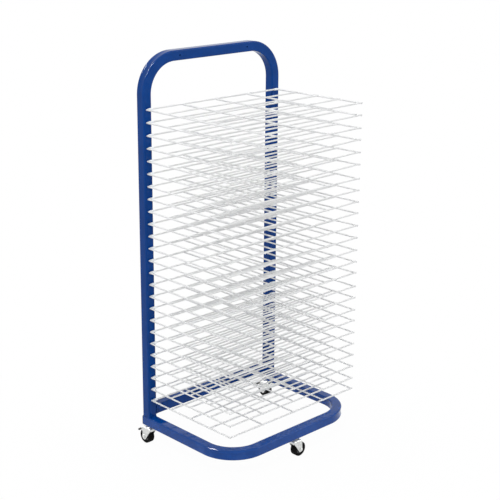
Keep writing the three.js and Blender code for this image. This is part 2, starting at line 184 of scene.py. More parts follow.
class RackColours(bpy.types.PropertyGroup):
    """Colours of the finishes"""
    paint: colour("Paint", (0.0004, 0.045, 0.228), "Gloss paint of the tubes")
    wire: colour("Wire", (0.825, 0.823, 0.815), "Coating of the shelf wires")
    clip: colour("Clip", (0.93, 0.95, 0.97), "Moulded pivot clips")
    zinc: colour("Zinc", (0.66, 0.67, 0.66), "Bright plating of forks and bolts")
    tyre: colour("Tyre", (0.003, 0.003, 0.0034), "Rubber of the tyres")
    moulding: colour("Moulding", (0.008, 0.008, 0.009), "Black moulded caps and pedals")
    hub: colour("Hub", (0.045, 0.046, 0.05), "Moulded wheel hubs")
    floor: colour("Floor", (0.90, 0.90, 0.90), "Studio floor")


# Shared mesh helpers

def new_object(name, mesh):
    """Put a mesh in the scene as an object"""
    obj = bpy.data.objects.new(name, mesh)
    bpy.context.scene.collection.objects.link(obj)
    return obj


def discard(obj):
    """Remove a tool object and its mesh"""
    mesh = obj.data
    bpy.data.objects.remove(obj)
    bpy.data.meshes.remove(mesh)


def to_mesh(name, bm, sharp=40.0):
    """A finished plain mesh from a bmesh, with normals outwards and soft shading"""
    bmesh.ops.remove_doubles(bm, verts=bm.verts, dist=1e-7)
    bmesh.ops.recalc_face_normals(bm, faces=bm.faces)
    mesh = bpy.data.meshes.new(name)
    bm.to_mesh(mesh)
    bm.free()
    mesh.shade_smooth()
    mesh.set_sharp_from_angle(angle=math.radians(sharp))
    return mesh


def settle_modifiers(obj):
    """Turn the object's modifiers into a plain mesh"""
    graph = bpy.context.evaluated_depsgraph_get()
    made = bpy.data.meshes.new_from_object(obj.evaluated_get(graph), depsgraph=graph)
    if not made.polygons:
        raise RuntimeError("no faces were made for " + obj.name)
    old = obj.data
    obj.modifiers.clear()
    obj.data = made
    made.name = obj.name
    if old.users == 0:
        bpy.data.meshes.remove(old)
    return obj


def even_normals(obj, sharp=35.0):
    """Keep flat faces flat next to their rounded edges"""
    obj.data.shade_smooth()
    obj.data.set_sharp_from_angle(angle=math.radians(sharp))
    weighted = obj.modifiers.new("normals", "WEIGHTED_NORMAL")
    weighted.keep_sharp = True
    weighted.weight = 80
    return settle_modifiers(obj)


def round_edges(obj, width, steps=2, limit=32.0):
    """Round the edges that are sharper than the limit in degrees"""
    bevel = obj.modifiers.new("edges", "BEVEL")
    bevel.width = width
    bevel.segments = steps
    bevel.limit_method = "ANGLE"
    bevel.angle_limit = math.radians(limit)
    bevel.use_clamp_overlap = True
    settle_modifiers(obj)
    return even_normals(obj)


def combine(obj, tool, operation):
    """Cut or trim a piece with a tool object, which is used up"""
    trim = obj.modifiers.new("trim", "BOOLEAN")
    trim.operation = operation
    trim.solver = "EXACT"
    trim.object = tool
    settle_modifiers(obj)
    discard(tool)
    return obj


def place(obj, matrix):
    """Move a piece's mesh, so that the object itself stays at the origin"""
    obj.data.transform(matrix)
    obj.data.update()
    return obj


def quarter(axis, sign=1):
    """A quarter turn about an axis"""
    return Matrix.Rotation(sign * math.pi / 2, 4, axis)


def merge(name, objects):
    """One object from several, keeping their shading and materials"""
    bpy.ops.object.select_all(action="DESELECT")
    for obj in objects:
        obj.select_set(True)
    bpy.context.view_layer.objects.active = objects[0]
    bpy.ops.object.join()
    objects[0].name = name
    objects[0].data.name = name
    return objects[0]


def finish(obj, material, body, slot, *nodes):
    """Give a piece its finish, its body and the solids it stands for"""
    if not any(obj.data.materials):
        obj.data.materials.clear()
        obj.data.materials.append(bpy.data.materials[material])
    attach(obj, body)
    if nodes:
        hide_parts(*nodes)
    return obj


def arc(centre, radius, start, end, steps):
    """Points on an arc in degrees"""
    angles = [math.radians(start + (end - start) * i / steps) for i in range(steps + 1)]
    return [(centre[0] + radius * math.cos(angle), centre[1] + radius * math.sin(angle))
            for angle in angles]


def profile(pairs, across=0.0, up=0.0):
    """Points given in millimetres from a place in metres"""
    return [(across + x * MM, up + z * MM) for x, z in pairs]


def mirrored(points):
    """A half outline followed by its mirror image"""
    return points + [(radius, -height) for radius, height in reversed(points)]


def extruded(name, outline, low, high):
    """A flat outline in X and Z, drawn out along Y"""
    bm = bmesh.new()
    near = [bm.verts.new((x, low, z)) for x, z in outline]
    far = [bm.verts.new((x, high, z)) for x, z in outline]
    bm.faces.new(near)
    bm.faces.new(far)
    for i in range(len(outline)):
        j = (i + 1) % len(outline)
        bm.faces.new((near[i], near[j], far[j], far[i]))
    return new_object(name, to_mesh(name, bm))


def turned(name, points, sides=48, sharp=40.0):
    """A turned piece about Z from points of radius and height, a closed ring if none is on the axis"""
    bm = bmesh.new()
    rings = []
    for radius, height in points:
        if radius < 1e-9:
            rings.append([bm.verts.new((0, 0, height))])
            continue
        angles = [math.tau * i / sides for i in range(sides)]
        rings.append([bm.verts.new((radius * math.cos(angle), radius * math.sin(angle), height))
                      for angle in angles])
    pairs = list(zip(rings, rings[1:]))
    if all(len(ring) > 1 for ring in rings):
        pairs.append((rings[-1], rings[0]))
    for first, second in pairs:
        for i in range(sides):
            j = (i + 1) % sides
            corners = [first[i % len(first)], first[j % len(first)],
                       second[j % len(second)], second[i % len(second)]]
            unique = list(dict.fromkeys(corners))
            if len(unique) > 2:
                bm.faces.new(unique)
    return new_object(name, to_mesh(name, bm, sharp))


def cylinder(name, radius, low, high, sides):
    """A plain round rod about Z"""
    return turned(name, [(0, low), (radius, low), (radius, high), (0, high)], sides)


def box(name, low, high):
    """A block between two corners"""
    bm = bmesh.new()
    bmesh.ops.create_cube(bm, size=1.0)
    for vert in bm.verts:
        vert.co = Vector([low[k] if vert.co[k] < 0 else high[k] for k in range(3)])
    return new_object(name, to_mesh(name, bm))


def path_mesh(name, points):
    """A line of edges for a node tree to follow"""
    mesh = bpy.data.meshes.new(name)
    mesh.from_pydata(points, [(i, i + 1) for i in range(len(points) - 1)], [])
    return mesh


# Node trees

def add_node(tree, kind, values=None, output=0, **settings):
    """Add a node, set its options, fill or link its inputs and return one of its outputs"""
    node = tree.nodes.new(kind)
    for key, value in settings.items():
        setattr(node, key, value)
    for key, value in (values or {}).items():
        if isinstance(value, bpy.types.NodeSocket):
            tree.links.new(value, node.inputs[key])
        else:
            node.inputs[key].default_value = value
    return node.outputs[output]


class NodeSheet:
    """A geometry node tree while it is drawn up"""

    def __init__(self, name, **sockets):
        self.tree = bpy.data.node_groups.new(name, "GeometryNodeTree")
        face = self.tree.interface
        face.new_socket("Geometry", in_out="INPUT", socket_type="NodeSocketGeometry")
        self.identifiers = {}
        for label, kind in sockets.items():
            socket = face.new_socket(label, in_out="INPUT", socket_type="NodeSocket" + kind)
            self.identifiers[label] = socket.identifier
        face.new_socket("Geometry", in_out="OUTPUT", socket_type="NodeSocketGeometry")
        self.entry = self.tree.nodes.new("NodeGroupInput")
        self.exit = self.tree.nodes.new("NodeGroupOutput")

    def given(self, label):
        return self.entry.outputs[label]

    def add(self, kind, values=None, output=0, **settings):
        return add_node(self.tree, kind, values, output, **settings)

    def copies(self, points, **more):
        """The given piece, set on points"""
        piece = self.add("GeometryNodeObjectInfo", {
            "Object": self.given("Piece"), "As Instance": True}, "Geometry")
        return self.add("GeometryNodeInstanceOnPoints", {"Points": points, "Instance": piece, **more})

    def sum(self, operation, first, second=0.0):
        return self.add("ShaderNodeMath", {0: first, 1: second}, operation=operation)

    def times(self, first, second):
        return self.sum("MULTIPLY", first, second)

    def vector(self, x=0.0, y=0.0, z=0.0):
        return self.add("ShaderNodeCombineXYZ", {0: x, 1: y, 2: z})

    def together(self, *parts):
        node = self.tree.nodes.new("GeometryNodeJoinGeometry")
        for part in parts:
            self.tree.links.new(part, node.inputs[0])
        return node.outputs[0]

    def close(self, geometry, smooth=False):
        """Realise what was made, give it its finish and put it out"""
        if smooth:
            geometry = self.add("GeometryNodeSetShadeSmooth", {
                "Geometry": geometry, "Shade Smooth": True})
        real = self.add("GeometryNodeRealizeInstances", {"Geometry": geometry})
        made = self.add("GeometryNodeSetMaterial", {
            "Geometry": real, "Material": self.given("Material")})
        self.tree.links.new(made, self.exit.inputs[0])
        return self

    def make(self, name, source, **values):
        """Run the tree on a mesh and return the result as a plain object"""
        obj = new_object(name, source)
        modifier = obj.modifiers.new("nodes", "NODES")
        modifier.node_group = self.tree
        for label, value in values.items():
            modifier[self.identifiers[label]] = value
        return settle_modifiers(obj)


def square_tube_tree():
    """A rounded square tube along a line of edges, with its corners bent"""
    sheet = NodeSheet("square tube", Side="Float", Corner="Float", CornerSteps="Int", Bend="Float",
                      BendSteps="Int", Material="Material")
    line = sheet.add("GeometryNodeMeshToCurve", {"Mesh": sheet.given("Geometry")})
    bent = sheet.add("GeometryNodeFilletCurve", {
        "Curve": line, "Count": sheet.given("BendSteps"), "Radius": sheet.given("Bend"),
        "Limit Radius": True}, mode="POLY")
    upright = sheet.add("GeometryNodeSetCurveNormal", {"Curve": bent}, mode="Z_UP")
    square = sheet.add("GeometryNodeCurvePrimitiveQuadrilateral", {
        "Width": sheet.given("Side"), "Height": sheet.given("Side")})
    section = sheet.add("GeometryNodeFilletCurve", {
        "Curve": square, "Count": sheet.given("CornerSteps"), "Radius": sheet.given("Corner"),
        "Limit Radius": True}, mode="POLY")
    tube = sheet.add("GeometryNodeCurveToMesh", {
        "Curve": upright, "Profile Curve": section, "Fill Caps": True})
    return sheet.close(tube)


def row_tree():
    """One piece repeated along a straight row"""
    sheet = NodeSheet("row of pieces", Piece="Object", Count="Int", First="Vector", Step="Vector",
                      Material="Material")
    points = sheet.add("GeometryNodeMeshLine", {
        "Count": sheet.given("Count"), "Start Location": sheet.given("First"),
        "Offset": sheet.given("Step")})
    return sheet.close(sheet.copies(points))


def row_of(tree, name, piece, count, first, step, material):
    """Copies of a piece in a straight row"""
    return tree.make(name, bpy.data.meshes.new(name), Piece=piece, Count=count, First=first, Step=step,
                     Material=bpy.data.materials[material])


def ring_tree():
    """One piece repeated around the Z axis"""
    sheet = NodeSheet("ring of pieces", Piece="Object", Count="Int", Material="Material")
    points = sheet.add("GeometryNodeMeshLine", {
        "Count": sheet.given("Count"), "Start Location": (0.0, 0.0, 0.0), "Offset": (0.0, 0.0, 0.0)})
    index = sheet.add("GeometryNodeInputIndex")
    turn = sheet.times(index, sheet.sum("DIVIDE", math.tau, sheet.given("Count")))
    return sheet.close(sheet.copies(points, Rotation=sheet.vector(z=turn)))


def bead_tree():
    """A weld bead of overlapping drops along lines of edges"""
    sheet = NodeSheet("weld bead", Radius="Float", Spacing="Float", Seed="Int", Material="Material")
    line = sheet.add("GeometryNodeMeshToCurve", {"Mesh": sheet.given("Geometry")})
    points = sheet.add("GeometryNodeResampleCurve", {
        "Curve": line, "Length": sheet.given("Spacing")}, mode="LENGTH")
    drop = sheet.add("GeometryNodeMeshIcoSphere", {"Radius": sheet.given("Radius"), "Subdivisions": 2})
    size = sheet.add("FunctionNodeRandomValue", {
        2: SMALL_DROP, 3: LARGE_DROP, "Seed": sheet.given("Seed")}, 1, data_type="FLOAT")
    drops = sheet.add("GeometryNodeInstanceOnPoints", {
        "Points": points, "Instance": drop, "Scale": sheet.vector(size, size, size)})
    return sheet.close(drops, smooth=True)


def shelf_tree():
    """A welded grid of round wires about its pivot, a little settled by use"""
    sheet = NodeSheet(
        "wire shelf", Span="Float", Depth="Float", CellsAcross="Int", CellsDeep="Int", Wire="Float",
        Overhang="Float", Tail="Float", LeftSettle="Float", RightSettle="Float", Pivot="Vector",
        Material="Material")
    span = sheet.given("Span")
    depth = sheet.given("Depth")
    over = sheet.given("Overhang")
    half = sheet.times(span, 0.5)
    step_x = sheet.sum("DIVIDE", span, sheet.given("CellsAcross"))
    step_y = sheet.sum("DIVIDE", depth, sheet.given("CellsDeep"))
    reach = sheet.sum("ADD", half, over)
    front = sheet.times(sheet.sum("ADD", depth, over), -1.0)
    layer = sheet.times(sheet.given("Wire"), LAYER_DROP)

    def wires(number, first, offset, start, end):
        line = sheet.add("GeometryNodeCurvePrimitiveLine", {"Start": start, "End": end})
        fine = sheet.add("GeometryNodeResampleCurve", {"Curve": line, "Count": WIRE_POINTS})
        points = sheet.add("GeometryNodeMeshLine", {
            "Count": number, "Start Location": first, "Offset": offset})
        return sheet.add("GeometryNodeInstanceOnPoints", {"Points": points, "Instance": fine})

    cross = wires(
        sheet.sum("ADD", sheet.given("CellsDeep"), 1), sheet.vector(),
        sheet.vector(y=sheet.times(step_y, -1.0)),
        sheet.vector(sheet.times(reach, -1.0)), sheet.vector(reach))
    inner = wires(
        sheet.sum("SUBTRACT", sheet.given("CellsAcross"), 1),
        sheet.vector(sheet.sum("SUBTRACT", step_x, half), z=layer), sheet.vector(step_x),
        sheet.vector(y=over), sheet.vector(y=front))
    rim = wires(
        2, sheet.vector(sheet.times(half, -1.0), z=layer), sheet.vector(span),
        sheet.vector(y=sheet.given("Tail")), sheet.vector(y=front))
    lines = sheet.add("GeometryNodeRealizeInstances", {"Geometry": sheet.together(cross, inner, rim)})
    grid = sheet.add("GeometryNodeMeshGrid", {
        "Size X": span, "Size Y": depth,
        "Vertices X": sheet.sum("ADD", sheet.given("CellsAcross"), 1),
        "Vertices Y": sheet.sum("ADD", sheet.given("CellsDeep"), 1)})
    crossings = sheet.add("GeometryNodeTransform", {
        "Geometry": grid, "Translation": sheet.vector(
            y=sheet.times(depth, -0.5), z=sheet.times(layer, 0.5))})
    drop = sheet.add("GeometryNodeMeshIcoSphere", {
        "Radius": sheet.times(sheet.given("Wire"), WELD_RADIUS), "Subdivisions": 2})
    welds = sheet.add("GeometryNodeRealizeInstances", {
        "Geometry": sheet.add("GeometryNodeInstanceOnPoints", {
            "Points": crossings, "Instance": drop, "Scale": (1.0, 1.0, 0.7)})})

    position = sheet.add("GeometryNodeInputPosition")
    x, y, _ = sheet.add("ShaderNodeSeparateXYZ", {0: position}).node.outputs
    along = sheet.sum("DIVIDE", sheet.times(y, -1.0), depth)
    side = sheet.sum("DIVIDE", x, half)
    level = sheet.sum("ADD", sheet.given("RightSettle"), sheet.given("LeftSettle"))
    twist = sheet.sum("SUBTRACT", sheet.given("RightSettle"), sheet.given("LeftSettle"))
    lean = sheet.times(sheet.sum("ADD", level, sheet.times(side, twist)), 0.5)
    rise = sheet.vector(z=sheet.times(lean, along))
    bent_lines = sheet.add("GeometryNodeSetPosition", {"Geometry": lines, "Offset": rise})
    bent_welds = sheet.add("GeometryNodeSetPosition", {"Geometry": welds, "Offset": rise})
    section = sheet.add("GeometryNodeCurvePrimitiveCircle", {
        "Resolution": WIRE_SIDES, "Radius": sheet.times(sheet.given("Wire"), 0.5)})
    rods = sheet.add("GeometryNodeCurveToMesh", {
        "Curve": bent_lines, "Profile Curve": section, "Fill Caps": True})
    whole = sheet.add("GeometryNodeTransform", {
        "Geometry": sheet.together(rods, bent_welds), "Translation": sheet.given("Pivot")})
    return sheet.close(whole, smooth=True)


# Finishes

class Finish:
    """A material while its nodes are laid out"""

    def __init__(self, name, base, roughness, metallic=0.0, specular=0.5):
        self.material = bpy.data.materials.new(name)
        self.material.use_nodes = True
        self.material.diffuse_color = (*base, 1.0)
        self.tree = self.material.node_tree
        self.shader = self.tree.nodes["Principled BSDF"]
        self.shader.inputs["Base Color"].default_value = (*base, 1.0)
        self.shader.inputs["Roughness"].default_value = roughness
        self.shader.inputs["Metallic"].default_value = metallic
        self.shader.inputs["Specular IOR Level"].default_value = specular
        self.place = self.tree.nodes.new("ShaderNodeTexCoord").outputs["Object"]

    def group(self, group, **values):
        """Lay a node group over the object's own coordinates and return its outputs"""
        values["Vector"] = self.place
        return add_node(self.tree, "ShaderNodeGroup", values, node_tree=group).node.outputs

    def use(self, label, socket):
        self.tree.links.new(socket, self.shader.inputs[label])


def shader_group(name, results, **inputs):
    """An empty shader group with its sockets, and the outputs of its entry"""
    tree = bpy.data.node_groups.new(name, "ShaderNodeTree")
    for label, kind in {"Vector": "Vector", **inputs}.items():
        tree.interface.new_socket(label, in_out="INPUT", socket_type="NodeSocket" + kind)
    for label, kind in results.items():
        tree.interface.new_socket(label, in_out="OUTPUT", socket_type="NodeSocket" + kind)
    return tree, tree.nodes.new("NodeGroupInput").outputs


def put_out(tree, **results):
    """Link the results of a shader group to its outputs"""
    leave = tree.nodes.new("NodeGroupOutput")
    for label, socket in results.items():
        tree.links.new(socket, leave.inputs[label])
    return tree


def noise(tree, vector, scale, **detail):
    """Noise as one value"""
    values = {"Vector": vector, "Scale": scale, **detail}
    return add_node(tree, "ShaderNodeTexNoise", values, "Fac")


def spread(tree, value, low, high):
    """Stretch the part of a value between two limits to the range 0 to 1"""
    values = {"Value": value, "From Min": low, "From Max": high}
    return add_node(tree, "ShaderNodeMapRange", values, "Result")


def blend(tree, share, first, second):
    """Mix two colours"""
    return add_node(tree, "ShaderNodeMix", {"Factor": share, 6: first, 7: second}, 2, data_type="RGBA")


def mottle_group():
    """Slow changes of tone over a surface"""
    tree, given = shader_group("mottled tone", {"Color": "Color"}, Color="Color", Second="Color",
                               Scale="Float")
    share = spread(tree, noise(tree, given["Vector"], given["Scale"], Detail=3.0), 0.35, 0.65)
    return put_out(tree, Color=blend(tree, share, given["Color"], given["Second"]))


def grain_group():
    """Fine relief of a coating, a moulding or a rolled sheet, and the gloss that goes with it"""
    tree, given = shader_group("fine grain", {"Height": "Float", "Roughness": "Float"}, Scale="Float",
                               Stretch="Vector", Low="Float", High="Float")
    stretched = add_node(tree, "ShaderNodeVectorMath", {0: given["Vector"], 1: given["Stretch"]},
                         operation="MULTIPLY")
    fine = noise(tree, stretched, given["Scale"], Detail=2.0)
    broad_scale = add_node(tree, "ShaderNodeMath", {0: given["Scale"], 1: 0.12}, operation="MULTIPLY")
    broad = noise(tree, stretched, broad_scale, Detail=3.0)
    gloss = add_node(tree, "ShaderNodeMapRange", {
        "Value": broad, "From Min": 0.3, "From Max": 0.7, "To Min": given["Low"],
        "To Max": given["High"]}, "Result")
    return put_out(tree, Height=fine, Roughness=gloss)


def scuff_group():
    """Dust and rubbed spots in patches; on the base paint they are lighter blue patches of painted light
    """
    tree, given = shader_group("scuffs", {"Color": "Color"}, Color="Color", Dust="Color", Scale="Float",
                               Amount="Float")
    patches = noise(tree, given["Vector"], given["Scale"], Detail=6.0, Roughness=0.65)
    share = add_node(tree, "ShaderNodeMath", {
        0: spread(tree, patches, 0.52, 0.78), 1: given["Amount"]}, operation="MULTIPLY")
    return put_out(tree, Color=blend(tree, share, given["Color"], given["Dust"]))


def tone(base, factor):
    """A colour made darker or lighter"""
    return (*[min(1.0, value * factor) for value in base], 1.0)


class RACK_OT_finishes(bpy.types.Operator):
    """Mix the paint, coating, plating, rubber and moulded plastics"""
    bl_idname = "rack.finishes"
    bl_label = "Mix Finishes"

    def execute(self, context):
        colours = context.scene.rack_colours
        mottle = mottle_group()
        grain = grain_group()
        scuff = scuff_group()

        def made(name, base, rough, relief, tones, dust_and_painted_light, dust_and_light_share, stretch=(1, 1, 1), **shader):
            """Lay tones, dust, gloss and relief over a shader

            rough is the least and the most roughness, relief the grain's scale and depth, tones how much
            the colour varies and at what scale, and the dust's share how much of the dust shows. On the
            base paint the dust is lighter blue patches, painted light for the brighter light on the base.
            Scales are in parts to the metre.
            """
            low, high = rough
            grain_scale, depth = relief
            vary, scale = tones
            look = Finish(name, base, (low + high) / 2, **shader)
            varied = look.group(mottle, Color=tone(base, 1 - vary), Second=tone(base, 1 + vary),
                                Scale=scale)
            dusted_and_lit = look.group(scuff, Color=varied["Color"], Dust=(*dust_and_painted_light, 1.0), Scale=scale * 2,
                                Amount=dust_and_light_share)
            surface = look.group(grain, Scale=grain_scale, Stretch=stretch, Low=low, High=high)
            bump = add_node(look.tree, "ShaderNodeBump", {
                "Height": surface["Height"], "Distance": depth, "Strength": 1.0}, "Normal")
            look.use("Base Color", dusted_and_lit["Color"])
            look.use("Roughness", surface["Roughness"])
            look.use("Normal", bump)

        made("gloss paint", colours.paint, rough=(0.06, 0.11), relief=(520, 0.005 * MM),
             tones=(0.08, 14), specular=0.12, dust_and_painted_light=(0.03, 0.09, 0.30), dust_and_light_share=0.12)
        # The base's paint is the tubes' paint made lighter, with lighter blue patches: painted light for
        # the brighter light on the base
        made("gloss paint of the base", tone(colours.paint, BASE_PAINTED_LIGHT_LIFT)[:3], rough=(0.06, 0.11),
             relief=(520, 0.005 * MM), tones=(0.08, 14), specular=0.24, dust_and_painted_light=(0.06, 0.13, 0.38),
             dust_and_light_share=0.3)
        made("coated wire", colours.wire, rough=(0.46, 0.60), relief=(900, 0.03 * MM),
             tones=(0.03, 30), specular=0.12, dust_and_painted_light=(0.75, 0.745, 0.735), dust_and_light_share=0.2)
        made("moulded clip", colours.clip, rough=(0.42, 0.56), relief=(1400, 0.03 * MM),
             tones=(0.03, 90), specular=0.4, dust_and_painted_light=(0.86, 0.86, 0.85), dust_and_light_share=0.12)
        made("bright zinc", colours.zinc, rough=(0.20, 0.36), relief=(1600, 0.02 * MM),
             tones=(0.14, 160), stretch=(1, 1, 0.25), metallic=1.0, dust_and_painted_light=(0.34, 0.33, 0.30), dust_and_light_share=0.35)
        made("tyre rubber", colours.tyre, rough=(0.50, 0.70), relief=(1200, 0.06 * MM),
             tones=(0.25, 70), specular=0.05, dust_and_painted_light=(0.012, 0.0117, 0.0112), dust_and_light_share=0.2)
        made("black moulding", colours.moulding, rough=(0.38, 0.55), relief=(1800, 0.05 * MM),
             tones=(0.2, 80), specular=0.4, dust_and_painted_light=(0.08, 0.08, 0.078), dust_and_light_share=0.25)
        made("hub moulding", colours.hub, rough=(0.40, 0.58), relief=(1600, 0.05 * MM),
             tones=(0.2, 90), specular=0.4, dust_and_painted_light=(0.12, 0.118, 0.11), dust_and_light_share=0.3)
        return {"FINISHED"}


# Tubes

def clip_middle(sizes):
    """Where the pivot clips stand across the rack, just inside the shelves' side wires"""
    side_wire = SHELF_HIGH.x - (SHELF_HIGH.z - SHELF_LOW.z) / 2
    return side_wire - (sizes.wire + sizes.clip_width) / 2 - CLIP_TO_WIRE


def along_bend(vert, centre, reach):
    """Where a vertex of a bend's outer wall lies along the bend, 0 to 1, or None elsewhere"""
    x, y, side, rise = centre
    across = (vert.co.x - x) * side
    along = (vert.co.y - y) * rise
    if abs(math.hypot(across, along) - reach) > WALL_SLACK or min(across, along) < -END_SLACK:
        return None
    return math.atan2(along, across) / (math.pi / 2)


def sink_bends(obj, sizes, centres):
    """Let the outer wall of each bend sink between its corners, as when a square tube is bent"""
    reach = sizes.bend
    flat = sizes.side / 2 - sizes.corner
    bm = bmesh.new()
    bm.from_mesh(obj.data)
    for centre in centres:
        crossing = []
        for edge in bm.edges:
            if abs(edge.verts[0].co.z - edge.verts[1].co.z) > flat:
                if None not in [along_bend(vert, centre, reach) for vert in edge.verts]:
                    crossing.append(edge)
        cut = bmesh.ops.subdivide_edges(bm, edges=crossing, cuts=SINK_CUTS)
        for vert in cut["geom_inner"]:
            if isinstance(vert, bmesh.types.BMVert):
                part = along_bend(vert, centre, reach)
                depth = sizes.sink * math.sin(math.pi * part) * (1 - (vert.co.z / flat) ** 2)
                shrink = 1 - depth / reach
                vert.co.x = centre[0] + (vert.co.x - centre[0]) * shrink
                vert.co.y = centre[1] + (vert.co.y - centre[1]) * shrink
    bm.to_mesh(obj.data)
    bm.free()


class RACK_OT_tubes(bpy.types.Operator):
    """Bend the back frame and the base and cut the rail between the uprights"""
    bl_idname = "rack.tubes"
    bl_label = "Bend Tubes"

    def execute(self, context):
        sizes = context.scene.rack_tubes
        tree = square_tube_tree()
        half = sizes.side / 2

        def tube(node, paint, points, bends, matrix):
            """Draw a tube along a line, sink its bends and set it in its place"""
            name = node + "_tube"
            obj = tree.make(name, path_mesh(name, points), Side=sizes.side, Corner=sizes.corner,
                            CornerSteps=sizes.corner_steps, Bend=sizes.bend - half,
                            BendSteps=sizes.bend_steps, Material=bpy.data.materials[paint])
            sink_bends(obj, sizes, bends)
            place(obj, matrix)
            if node == "back_frame":
                self.cut_slots(obj, sizes, context.scene.rack_shelves)
            even_normals(obj)
            finish(obj, paint, "frame", "blue_paint", node)

        left = BACK_LOW.x + half
        right = BACK_HIGH.x - half
        turn_x = BACK_HIGH.x - sizes.bend
        foot = BACK_LOW.z
        top = BACK_HIGH.z - half
        turn_z = BACK_HIGH.z - sizes.bend
        tube("back_frame", "gloss paint",
             [(left, foot, 0), (left, top, 0), (right, top, 0), (right, foot, 0)],
             [(side * turn_x, turn_z, side, 1) for side in (-1, 1)],
             Matrix.Translation((0, BACK_LOW.y + half, 0)) @ quarter("X"))
        rear = BASE_HIGH.y
        front = BASE_LOW.y + half
        turn_y = BASE_LOW.y + sizes.bend
        # The base is drawn in the lightened paint, which is painted light
        tube("base_frame", "gloss paint of the base",
             [(left, rear, 0), (left, front, 0), (right, front, 0), (right, rear, 0)],
             [(side * turn_x, turn_y, side, -1) for side in (-1, 1)],
             Matrix.Translation((0, 0, BASE_LOW.z + half)))
        middle = (RAIL_LOW + RAIL_HIGH) / 2
        tube("rear_rail", "gloss paint", [(RAIL_LOW.x, 0, 0), (RAIL_HIGH.x, 0, 0)], [],
             Matrix.Translation((0, middle.y, middle.z)))
        return {"FINISHED"}

    def cut_slots(self, back, sizes, shelf):
        """Slots for the pivot clips and the two holes in the top bar"""
        row = row_tree()
        face = BACK_LOW.y
        width = shelf.clip_width / 2 + SLOT_PLAY
        low, high = CLIP_ROOT
        slot = box("slot_cutter", (-width, -MM, low - SLOT_PLAY), (width, CUT_DEPTH, high + SLOT_PLAY))
        for side in (-1, 1):
            first = (side * clip_middle(shelf), face, SHELF_PIVOTS[0].z)
            combine(back, row_of(row, "slot_cutters", slot, len(SHELVES), first, (0.0, 0.0, PITCH),
                                 "gloss paint"), "DIFFERENCE")
        discard(slot)
        hole = cylinder("hole_cutter", sizes.sign_hole / 2, -MM, CUT_DEPTH, 24)
        place(hole, quarter("X", -1))
        first = (-sizes.sign_spacing / 2, face, BACK_HIGH.z - sizes.side / 2)
        combine(back, row_of(row, "hole_cutters", hole, 2, first, (sizes.sign_spacing, 0.0, 0.0),
                             "gloss paint"), "DIFFERENCE")
        discard(hole)


class RACK_OT_welds(bpy.types.Operator):
    """Lay the painted weld beads where the tubes meet"""
    bl_idname = "rack.welds"
    bl_label = "Lay Weld Beads"

    def execute(self, context):
        sizes = context.scene.rack_tubes
        half = sizes.side / 2
        inset = sizes.corner * 0.6
        top = BASE_HIGH.z
        ends = []
        for side in (-1, 1):
            middle = side * (BACK_HIGH.x - half)
            inner = side * (BACK_HIGH.x - sizes.side)
            ends += [(middle - half + inset, BACK_LOW.y, top), (middle + half - inset, BACK_LOW.y, top)]
            ends += [(inner, RAIL_LOW.y + inset, RAIL_HIGH.z), (inner, RAIL_HIGH.y - inset, RAIL_HIGH.z)]
            for y in (RAIL_LOW.y, RAIL_HIGH.y):
                ends += [(inner, y, RAIL_LOW.z + inset), (inner, y, RAIL_HIGH.z - inset)]
        mesh = bpy.data.meshes.new("weld_lines")
        mesh.from_pydata(ends, [(i, i + 1) for i in range(0, len(ends), 2)], [])
        beads = bead_tree().make("weld_beads", mesh, Radius=sizes.bead, Seed=BEAD_SEED,
                                 Spacing=sizes.bead * DROP_SPACING,
                                 Material=bpy.data.materials["gloss paint"])
        finish(beads, "gloss paint", "frame", "blue_paint")
        return {"FINISHED"}


class RACK_OT_caps(bpy.types.Operator):
    """Mould the caps in the open ends of the base legs"""
    bl_idname = "rack.caps"
    bl_label = "Mould Leg Caps"

    def execute(self, context):
        corner = context.scene.rack_tubes.corner
        seat = BASE_HIGH.y + CAP_GAP
        for side in ("left", "right"):
            low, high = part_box("leg_cap_" + side)
            middle = (low + high) / 2
            half = (high.x - low.x) / 2
            flat = half - corner
            outline = []
            for x, z, start in ((flat, flat, 0), (-flat, flat, 90), (-flat, -flat, 180),
                                (flat, -flat, 270)):
                outline += arc((x, z), corner, start, start + 90, 5)
            flange = extruded("cap_flange", outline, seat, high.y)
            round_edges(flange, 0.6 * MM, 3, 50)
            inside = half - 2 * MM
            plug = box("cap_plug", (-inside, low.y, -inside), (inside, seat + MM, inside))
            dish = turned("cap_dish", profile([(0, 0), (7.2, 0), (7.2, 0.55), (6.4, 0.9), (5.6, 0.45),
                                               (0, 0.3)]), 32)
            place(dish, Matrix.Translation((0, high.y - 0.3 * MM, 0)) @ quarter("X", -1))
            cap = merge("leg_cap_" + side + "_moulding", [flange, plug, dish])
            place(cap, Matrix.Translation((middle.x, 0, middle.z)))
            finish(cap, "black moulding", "frame", "black_plastic", "leg_cap_" + side)
        return {"FINISHED"}


# Shelves and their clips

class RACK_OT_clips(bpy.types.Operator):
    """Mould the row of pivot clips at the front of each upright"""
    bl_idname = "rack.clips"
    bl_label = "Mould Pivot Clips"

    def execute(self, context):
        sizes = context.scene.rack_shelves
        reach = BACK_LOW.y - SHELF_PIVOTS[0].y
        outer = sizes.clip_height / 2
        bore = sizes.wire / 2 + 0.05 * MM
        tail = reach + 3 * MM
        low, high = CLIP_ROOT
        outline = [(tail, high), (reach - MM, high)]
        outline += arc((0, 0), outer, 12, 60, 5)
        outline += arc((0, 0), bore, 60, -236, 28)
        outline += arc((0, 0), outer, -236, -62, 16)
        outline += [(reach - MM, low), (tail, low)]
        clip = extruded("clip", outline, -sizes.clip_width / 2, sizes.clip_width / 2)
        round_edges(clip, 0.12 * MM, 2, 50)
        place(clip, quarter("Z"))
        row = row_tree()
        for side, sign in (("left", -1), ("right", 1)):
            first = (sign * clip_middle(sizes), SHELF_PIVOTS[0].y, SHELF_PIVOTS[0].z)
            clips = row_of(row, "pivot_clips_" + side, clip, len(SHELVES), first, (0.0, 0.0, PITCH),
                           "moulded clip")
            finish(clips, "moulded clip", "frame", "white_plastic", "pivot_strip_" + side)
        discard(clip)
        return {"FINISHED"}


